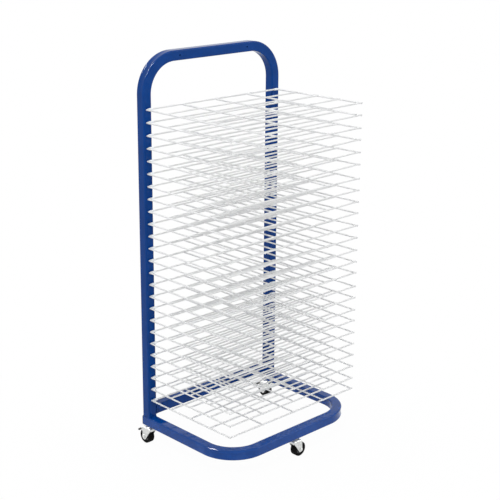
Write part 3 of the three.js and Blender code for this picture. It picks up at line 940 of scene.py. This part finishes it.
class RACK_OT_shelves(bpy.types.Operator):
    """Weld the wire shelves"""
    bl_idname = "rack.shelves"
    bl_label = "Weld Wire Shelves"

    def execute(self, context):
        sizes = context.scene.rack_shelves
        tree = shelf_tree()
        coating = bpy.data.materials["coated wire"]
        solid_wire = SHELF_HIGH.z - SHELF_LOW.z
        span = SHELF_HIGH.x - SHELF_LOW.x - solid_wire
        depth = SHELF_PIVOTS[0].y - SHELF_LOW.y - solid_wire / 2
        tail = SHELF_HIGH.y - SHELF_PIVOTS[0].y
        dice = random.Random(sizes.settle_seed)
        below = None
        for number, (node, pivot) in enumerate(zip(SHELVES, SHELF_PIVOTS)):
            left, right = self.settled(number, dice, sizes.settle)
            if below:
                left = max(left, below[0] - sizes.lifted_room)
                right = max(right, below[1] - sizes.lifted_room)
            below = (left, right)
            name = node.replace("shelf", "wire_shelf")
            shelf = tree.make(
                name, bpy.data.meshes.new(name), Span=span, Depth=depth,
                CellsAcross=sizes.cells_across, CellsDeep=sizes.cells_deep, Wire=sizes.wire,
                Overhang=sizes.overhang, Tail=tail, LeftSettle=left, RightSettle=right,
                Pivot=pivot, Material=coating)
            even_normals(shelf, 60.0)
            finish(shelf, "coated wire", node + "_body", "white_wire", node)
        return {"FINISHED"}

    def settled(self, number, dice, settle):
        """How far a shelf's front corners stand off level: the lower ones hang, the upper ones rise"""
        left = dice.uniform(-0.5, 0.7)
        right = dice.uniform(-1.0, 1.0)
        lean = LOWER_LEAN if number < len(SHELVES) * LOWER_PART else UPPER_LEAN
        if number < len(LOWEST_SETTLE):
            return tuple(part * settle for part in LOWEST_SETTLE[number])
        return left * settle, right * settle + lean * settle


# Casters, drawn with the stem on the Z axis, the wheel trailing along X and the axle along Y

def caster_place(name):
    """Where a caster stands and which way its wheel trails"""
    stem = middle_of("caster_" + name + "_stem")
    axle = middle_of("caster_" + name + "_axle")
    turn = math.atan2(axle.y - stem.y, axle.x - stem.x)
    return Matrix.Translation((stem.x, stem.y, 0)) @ Matrix.Rotation(turn, 4, "Z")


def fit(obj, caster, ending, material, body, slot, *nodes):
    """Set a piece in its caster, name it and give it its finish"""
    place(obj, caster_place(caster))
    obj.name = "caster_" + caster + ending
    finish(obj, material, body, slot, *["caster_" + caster + node for node in nodes])


def fork_half(sizes):
    """Half the outside width of a fork"""
    return sizes.width / 2 + sizes.side_gap + sizes.plate


def pedal_half(sizes):
    """Half the width of a brake pedal, which moves between the fork's plates"""
    return sizes.width / 2 + sizes.side_gap - 0.6 * MM


def along_axle(obj, sizes):
    """Lay a piece that was turned about Z along the axle"""
    return place(obj, Matrix.Translation((sizes.trail, 0, sizes.wheel / 2)) @ quarter("X"))


def at_pedal_pin(sizes):
    """Where the pin of the brake pedal goes through the fork"""
    return Matrix.Translation((sizes.trail + sizes.pedal_setback, 0, sizes.pedal_pin))


def hex_piece(name, width, low, high):
    """A hexagon head or nut with its corners turned off"""
    radius = width / math.sqrt(3)
    piece = extruded(name, arc((0, 0), radius, 0, 300, 5), low, high)
    place(piece, quarter("X"))
    lowest = min(vert.co.z for vert in piece.data.vertices)
    highest = max(vert.co.z for vert in piece.data.vertices)
    chamfer = (radius - width / 2) * 0.6
    flat = radius - chamfer * 1.6
    tool = turned("chamfer", [(0, lowest), (flat, lowest), (radius, lowest + chamfer),
                              (radius, highest - chamfer), (flat, highest), (0, highest)], 36)
    combine(piece, tool, "INTERSECT")
    return even_normals(piece, 25)


class RACK_OT_stems(bpy.types.Operator):
    """Turn the caster stems with their swivel races"""
    bl_idname = "rack.stems"
    bl_label = "Turn Caster Stems"

    def execute(self, context):
        points = profile([
            (0, -4.6), (4.0, -4.4), (5.6, -3.5), (5.9, -2.2), (4.0, -2.1), (4.0, 0.3), (10.8, 0.3),
            (11.7, 0.6), (12.0, 1.1), (11.9, 1.7), (11.2, 2.3), (10.0, 2.7), (9.0, 3.0), (8.2, 3.5),
            (7.0, 3.7), (6.6, 3.9)], up=context.scene.rack_casters.top)
        points += profile([
            (6.6, -2.0), (8.8, -1.9), (9.0, -1.6), (9.0, -0.5), (8.8, -0.3), (4.0, -0.3), (4.0, 12),
            (3.4, 12.6), (0, 12.6)], up=BASE_LOW.z)
        for name in CASTERS:
            stem = turned("stem", points, 48)
            fit(stem, name, "_swivel", "bright zinc", "frame", "zinc", "_stem", "_nut")
        return {"FINISHED"}


class RACK_OT_forks(bpy.types.Operator):
    """Press the caster forks and fit their axle bolts"""
    bl_idname = "rack.forks"
    bl_label = "Press Caster Forks"

    def execute(self, context):
        sizes = context.scene.rack_casters
        for name in CASTERS:
            brake = "caster_" + name + "_pedal_pin" in frame["nodes"]
            body = "fork_" + name
            fit(self.fork(sizes, brake), name, "_fork_pressing", "bright zinc", body, "zinc", "_fork")
            fit(self.bolt(sizes), name, "_axle_bolt", "bright zinc", body, "zinc", "_axle")
            if brake:
                fit(self.pin(sizes), name, "_pedal_rivet", "bright zinc", body, "zinc", "_pedal_pin")
        return {"FINISHED"}

    def fork(self, sizes, brake):
        """A bent strip trimmed to the fork's side outline"""
        outer = fork_half(sizes)
        inner = outer - sizes.plate
        tight = FORK_BEND - sizes.plate
        top = sizes.top
        left = (-outer + FORK_BEND, top - FORK_BEND)
        right = (outer - FORK_BEND, top - FORK_BEND)
        section = [(-outer, FORK_FOOT)] + arc(left, FORK_BEND, 180, 90, 6)
        section += arc(right, FORK_BEND, 90, 0, 6) + [(outer, FORK_FOOT), (inner, FORK_FOOT)]
        section += arc(right, tight, 0, 90, 6) + arc(left, tight, 90, 180, 6) + [(-inner, FORK_FOOT)]
        strip = extruded("fork_strip", section, -30 * MM, 60 * MM)
        place(strip, quarter("Z", -1))

        if brake:
            forward, wider, shorter = 0.4 * MM, 2.0 * MM, 0.0
        else:
            forward, wider, shorter = 1.6 * MM, 0.4 * MM, 1.6 * MM
        lead = -sizes.crown / 2
        nose = lead + CROWN_ROUND
        edge = sizes.trail + sizes.boss - shorter
        outline = [(-lead * 0.9, top + MM), (nose, top + MM)]
        outline += arc((nose, top - CROWN_ROUND), CROWN_ROUND, 90, 180, 5) + [(lead, top - 4.4 * MM)]
        outline += arc((sizes.trail - forward, sizes.wheel / 2 - MM), sizes.boss + wider, -145, 0, 18)
        if brake:
            pin = at_pedal_pin(sizes).translation
            outline += [(edge, pin.z - 9.6 * MM)] + arc((pin.x, pin.z), 3.2 * MM, -36, 72, 9)
        else:
            outline += arc((edge - 4 * MM, top - 6 * MM), 4 * MM, 0, 60, 5)
        combine(strip, extruded("fork_side", outline, -TOOL_REACH, TOOL_REACH), "INTERSECT")
        bore = cylinder("axle_bore", 2.8 * MM, -TOOL_REACH, TOOL_REACH, 24)
        combine(strip, along_axle(bore, sizes), "DIFFERENCE")
        combine(strip, cylinder("stem_bore", 4.3 * MM, 40 * MM, 80 * MM, 24), "DIFFERENCE")
        round_edges(strip, 0.45 * MM, 2, 40)
        return merge("fork", [strip, self.lip(sizes, inner)])

    def lip(self, sizes, inner):
        """The leading end of the crown, bent down in front of the tyre"""
        lead = -sizes.crown / 2
        thin = sizes.plate * 0.8
        top = sizes.top - 0.1 * MM
        low = top - 7.5 * MM
        centre = (lead + CROWN_ROUND, top - CROWN_ROUND)
        outline = arc(centre, CROWN_ROUND, 90, 180, 6) + [(lead, low), (lead + thin, low)]
        outline += arc(centre, CROWN_ROUND - thin, 180, 90, 6)
        lip = extruded("fork_lip", outline, -inner - 0.2 * MM, inner + 0.2 * MM)
        return round_edges(lip, 0.3 * MM, 2, 50)

    def bolt(self, sizes):
        """Axle bolt with a hexagon head, washers, a nut and its thread end"""
        seat = fork_half(sizes) + 0.15 * MM
        rod = turned("rod", profile([(0, -2.1), (2.1, -2.1), (2.5, -1.7)], up=-seat)
                     + profile([(2.5, 1.0), (0, 1.0)], up=seat), 24)
        washers = []
        for sign in (-1, 1):
            washers.append(turned("washer", profile([
                (2.6, 0), (4.5, 0), (4.7, sign * 0.2), (4.7, sign * 0.5), (4.5, sign * 0.7),
                (2.6, sign * 0.7)], up=sign * seat), 28))
        head = hex_piece("head", 7.0 * MM, -seat - 2.3 * MM, -seat - 0.7 * MM)
        nut = hex_piece("nut", 7.0 * MM, seat + 0.7 * MM, seat + 2.3 * MM)
        return along_axle(merge("axle_bolt", [rod, *washers, head, nut]), sizes)

    def pin(self, sizes):
        """Riveted pin that the brake pedal turns on"""
        seat = fork_half(sizes) + 0.1 * MM
        points = profile([(0, -1.2), (1.4, -1.05), (2.3, -0.6), (2.5, 0), (1.5, 0)], up=-seat)
        rivet = turned("pedal_rivet", mirrored(points), 24)
        return place(rivet, at_pedal_pin(sizes) @ quarter("X"))


class RACK_OT_wheels(bpy.types.Operator):
    """Mould the wheel hubs and their tyres"""
    bl_idname = "rack.wheels"
    bl_label = "Mould Wheels"

    def execute(self, context):
        sizes = context.scene.rack_casters
        ring = ring_tree()
        for name in CASTERS:
            body = "wheel_" + name
            fit(self.tyre(sizes), name, "_tyre_rubber", "tyre rubber", body, "black_tyre", "_tyre")
            fit(self.hub(sizes, ring), name, "_hub_moulding", "hub moulding", body, "grey_plastic", "_hub")
        return {"FINISHED"}

    def tyre(self, sizes):
        """A crowned tyre with two shallow grooves and rounded shoulders"""
        half = sizes.width / 2
        tread = sizes.wheel / 2
        bore = sizes.hub / 2 + 0.1 * MM
        right = profile([(0, -1.2), (0.9, -0.4), (2.0, -0.1)], bore, half)
        right += profile([
            (-1.6, 0), (-0.8, -0.25), (-0.25, -0.8), (-0.1, -1.6), (-0.05, -4.0), (-0.6, -4.35),
            (-0.6, -4.85), (-0.05, -5.2)], tread, half)
        right += [(tread, 0.8 * MM)]
        return along_axle(turned("tyre", mirrored(right), 72, 30), sizes)

    def hub(self, sizes, ring):
        """A dished hub with ribs between its boss and its rim"""
        half = sizes.width / 2
        rim = sizes.hub / 2 - 0.1 * MM
        boss = 4.2 * MM
        right = [(2.7 * MM, half + 0.7 * MM)]
        right += profile([(-0.4, 0.7), (0, 0.3), (0.3, -3.6)], boss, half)
        right += profile([(-2.4, -3.6), (-2.0, -1.4), (-1.5, -1.0), (-0.3, -1.0), (0, -1.3)], rim, half)
        body = turned("hub", mirrored(right), 48, 30)
        rib = box("rib", (boss - 0.5 * MM, -0.55 * MM, half - 3.8 * MM),
                  (rim - 1.6 * MM, 0.55 * MM, half - 1.6 * MM))
        round_edges(rib, 0.25 * MM, 2)
        moulding = bpy.data.materials["hub moulding"]
        body.data.materials.append(moulding)
        parts = [body]
        for turn in (0, math.pi):
            place(rib, Matrix.Rotation(turn, 4, "X"))
            parts.append(ring.make("ribs", bpy.data.meshes.new("rib_ring"), Piece=rib, Count=6,
                                   Material=moulding))
        discard(rib)
        return along_axle(merge("hub", parts), sizes)


class RACK_OT_pedals(bpy.types.Operator):
    """Mould the brake pedals of the rear casters"""
    bl_idname = "rack.pedals"
    bl_label = "Mould Brake Pedals"

    def execute(self, context):
        sizes = context.scene.rack_casters
        row = row_tree()
        width = pedal_half(sizes) - 1.6 * MM
        first = (PEDAL_ARM - 4.4 * MM, 0.0, -9.75 * MM)
        step = (1.4 * MM, 0.0, 0.0)
        for name in CASTERS:
            node = "caster_" + name + "_pedal"
            if node not in frame["nodes"]:
                continue
            pedal = self.lever(sizes)
            rib = box("pad_rib", (-0.5 * MM, -width, -0.6 * MM), (0.5 * MM, width, 0.45 * MM))
            round_edges(rib, 0.25 * MM, 2)
            ribs = row_of(row, "pad_ribs", rib, 3, first, step, "black moulding")
            discard(rib)
            pedal.data.materials.append(bpy.data.materials["black moulding"])
            whole = merge(node + "_moulding", [pedal, ribs])
            place(whole, caster_place(name) @ at_pedal_pin(sizes))
            finish(whole, "black moulding", "pedal_" + name, "black_plastic", node)
        return {"FINISHED"}

    def lever(self, sizes):
        """Side outline of the pedal about its pin, drawn out across the fork"""
        width = pedal_half(sizes)
        outline = arc((0, 0), 3.1 * MM, 60, 268, 14)
        outline += profile([(4.3, -3.7), (8.3, -7.2), (11.5, -11.0), (13.4, -12.6), (15.2, -13.2)])
        outline += profile([(-1.2, -13.4), (-0.2, -12.6), (-0.1, -11.7), (-0.3, -10.7), (-1.2, -10.0),
                            (-4.6, -9.6)], PEDAL_ARM)
        outline += profile([(13.4, -8.4), (10.0, -4.9), (5.0, 0.2)])
        lever = extruded("pedal", outline, -width, width)
        bore = cylinder("pin_bore", 1.75 * MM, -TOOL_REACH, TOOL_REACH, 20)
        combine(lever, place(bore, quarter("X")), "DIFFERENCE")
        return round_edges(lever, 0.5 * MM, 2, 50)


# Studio

WHITE = (1.0, 1.0, 1.0, 1.0)
SKY_COLOUR = (0.95, 0.97, 1.0, 1.0)
SKY_STRENGTH = 0.55

# The floor is a little less than white under the rack and turns white between two distances
FLOOR_RADIUS = 30.0
SHADE_FROM = 0.15
SHADE_TO = 0.8
SHADE_WHITE = 0.97

# The lamp that makes the streaks on the gloss paint and lights nothing else
STREAK_LAMP = "strip"

# The camera's turn, tilt and roll in degrees, its place from the floor under the back frame, its lens
CAMERA_ANGLES = (44.13, 17.39, -0.47)
CAMERA_PLACE = (-1.9670, -2.1703, 1.3932)
SENSOR = 36.0
FOCAL_PIXELS = 1192.1
PICTURE_PIXELS = 500.0


def backdrop_rays(tree):
    """1 for the rays that see a plain white background, 0 for the rays that light the rack"""
    rays = tree.nodes.new("ShaderNodeLightPath").outputs
    seen = add_node(tree, "ShaderNodeMath", {
        0: rays["Is Camera Ray"], 1: rays["Is Glossy Ray"]}, operation="MAXIMUM")
    return add_node(tree, "ShaderNodeMath", {
        0: seen, 1: rays["Is Transmission Ray"]}, operation="MAXIMUM")


class RACK_OT_stage(bpy.types.Operator):
    """Set the pale floor, the soft lamps and the camera"""
    bl_idname = "rack.stage"
    bl_label = "Set Stage"

    def execute(self, context):
        scene = context.scene
        scene.view_settings.view_transform = "Standard"
        self.floor(scene)
        self.sky(scene)
        self.lamps(scene)
        self.camera(scene)
        return {"FINISHED"}

    def floor(self, scene):
        """A wide floor that is white in the picture and keeps the soft shadow under the rack"""
        bm = bmesh.new()
        bmesh.ops.create_circle(bm, cap_ends=True, radius=FLOOR_RADIUS, segments=64)
        mesh = bpy.data.meshes.new("studio_floor")
        bm.to_mesh(mesh)
        bm.free()
        floor = new_object("studio_floor", mesh)
        look = Finish("studio floor", scene.rack_colours.floor, 0.9, specular=0.1)
        tree = look.tree
        reach = add_node(tree, "ShaderNodeVectorMath", {0: look.place}, "Value", operation="LENGTH")
        fade = add_node(tree, "ShaderNodeMapRange", {
            "Value": reach, "From Min": SHADE_FROM, "From Max": SHADE_TO,
            "To Min": SHADE_WHITE}, "Result", interpolation_type="SMOOTHSTEP")
        share = add_node(tree, "ShaderNodeMath", {0: backdrop_rays(tree), 1: fade}, operation="MULTIPLY")
        white = add_node(tree, "ShaderNodeEmission", {"Color": WHITE})
        mixed = add_node(tree, "ShaderNodeMixShader", {0: share, 1: look.shader.outputs[0], 2: white})
        tree.links.new(mixed, tree.nodes["Material Output"].inputs["Surface"])
        floor.data.materials.append(look.material)

    def sky(self, scene):
        """Even light from all round, which is white in the picture and in reflections"""
        world = bpy.data.worlds.new("studio")
        world.use_nodes = True
        scene.world = world
        tree = world.node_tree
        soft = tree.nodes["Background"]
        soft.inputs["Color"].default_value = SKY_COLOUR
        soft.inputs["Strength"].default_value = SKY_STRENGTH
        white = add_node(tree, "ShaderNodeBackground", {"Color": WHITE})
        mixed = add_node(tree, "ShaderNodeMixShader", {
            0: backdrop_rays(tree), 1: soft.outputs[0], 2: white})
        tree.links.new(mixed, tree.nodes["World Output"].inputs["Surface"])

    def lamps(self, scene):
        """Area lamps by name, place, aim, width, length, turn in degrees and power in watts"""
        for name, spot, aim, width, long, turn, power in (
                ("key", (-2.0, -1.3, 3.0), (0, 0, 0.5), 0.35, 0.35, 0, 40),
                ("fill", (2.4, -2.4, 2.0), (0, 0, 0.5), 1.6, 1.6, 0, 18),
                (STREAK_LAMP, (-1.83, 1.37, 3.35), (-0.2, 0.07, 0.93), 1.0, 2.0, 34.5, 600),
                ("top", (0.3, 0.4, 3.4), (0, 0, 0.3), 2.4, 2.4, 0, 18.5)):
            lamp = bpy.data.lights.new(name, "AREA")
            lamp.shape = "RECTANGLE"
            lamp.size = width
            lamp.size_y = long
            lamp.energy = power
            holder = bpy.data.objects.new(name, lamp)
            scene.collection.objects.link(holder)
            holder.location = spot
            facing = (Vector(aim) - Vector(spot)).to_track_quat("-Z", "Y").to_matrix()
            holder.rotation_euler = (facing @ Matrix.Rotation(math.radians(turn), 3, "Z")).to_euler()
            holder.visible_diffuse = name != STREAK_LAMP

    def camera(self, scene):
        """The camera, set by its turn, tilt, roll and place"""
        turn, tilt, roll = (math.radians(angle) for angle in CAMERA_ANGLES)
        data = bpy.data.cameras.new("camera")
        data.sensor_width = SENSOR
        data.lens = SENSOR * FOCAL_PIXELS / PICTURE_PIXELS
        data.clip_end = 100.0
        holder = bpy.data.objects.new("camera", data)
        scene.collection.objects.link(holder)
        x, y, z = CAMERA_PLACE
        spot = Matrix.Translation((x, (BACK_LOW.y + BACK_HIGH.y) / 2 + y, z))
        level = Matrix.Rotation(-turn, 4, "Z") @ Matrix.Rotation(math.pi / 2 - tilt, 4, "X")
        holder.matrix_world = spot @ level @ Matrix.Rotation(-roll, 4, "Z")
        scene.camera = holder


class RACK_PT_panel(bpy.types.Panel):
    """Steps and sizes of the drying rack"""
    bl_idname = "RACK_PT_panel"
    bl_label = "Art Drying Rack"
    bl_space_type = "VIEW_3D"
    bl_region_type = "UI"
    bl_category = "Rack"

    def draw(self, context):
        column = self.layout.column()
        for operator in OPERATORS:
            column.operator(operator.bl_idname)
        for group in SETTINGS:
            sizes = getattr(context.scene, group)
            for key in sizes.__annotations__:
                column.prop(sizes, key)


OPERATORS = (RACK_OT_finishes, RACK_OT_tubes, RACK_OT_welds, RACK_OT_caps, RACK_OT_clips,
             RACK_OT_shelves, RACK_OT_stems, RACK_OT_forks, RACK_OT_wheels, RACK_OT_pedals, RACK_OT_stage)
SETTINGS = {"rack_tubes": RackTubeSizes, "rack_shelves": RackShelfSizes,
            "rack_casters": RackCasterSizes, "rack_colours": RackColours}


def register():
    for group in SETTINGS.values():
        bpy.utils.register_class(group)
    for name, group in SETTINGS.items():
        setattr(bpy.types.Scene, name, PointerProperty(type=group))
    for operator in OPERATORS:
        bpy.utils.register_class(operator)
    bpy.utils.register_class(RACK_PT_panel)


def unregister():
    bpy.utils.unregister_class(RACK_PT_panel)
    for operator in reversed(OPERATORS):
        bpy.utils.unregister_class(operator)
    for name in SETTINGS:
        delattr(bpy.types.Scene, name)
    for group in SETTINGS.values():
        bpy.utils.unregister_class(group)


def main():
    register()
    bpy.ops.rack.finishes()
    bpy.ops.rack.tubes()
    bpy.ops.rack.welds()
    bpy.ops.rack.caps()
    bpy.ops.rack.clips()
    bpy.ops.rack.shelves()
    bpy.ops.rack.stems()
    bpy.ops.rack.forks()
    bpy.ops.rack.wheels()
    bpy.ops.rack.pedals()
    bpy.ops.rack.stage()


if __name__ == "__main__":
    main()
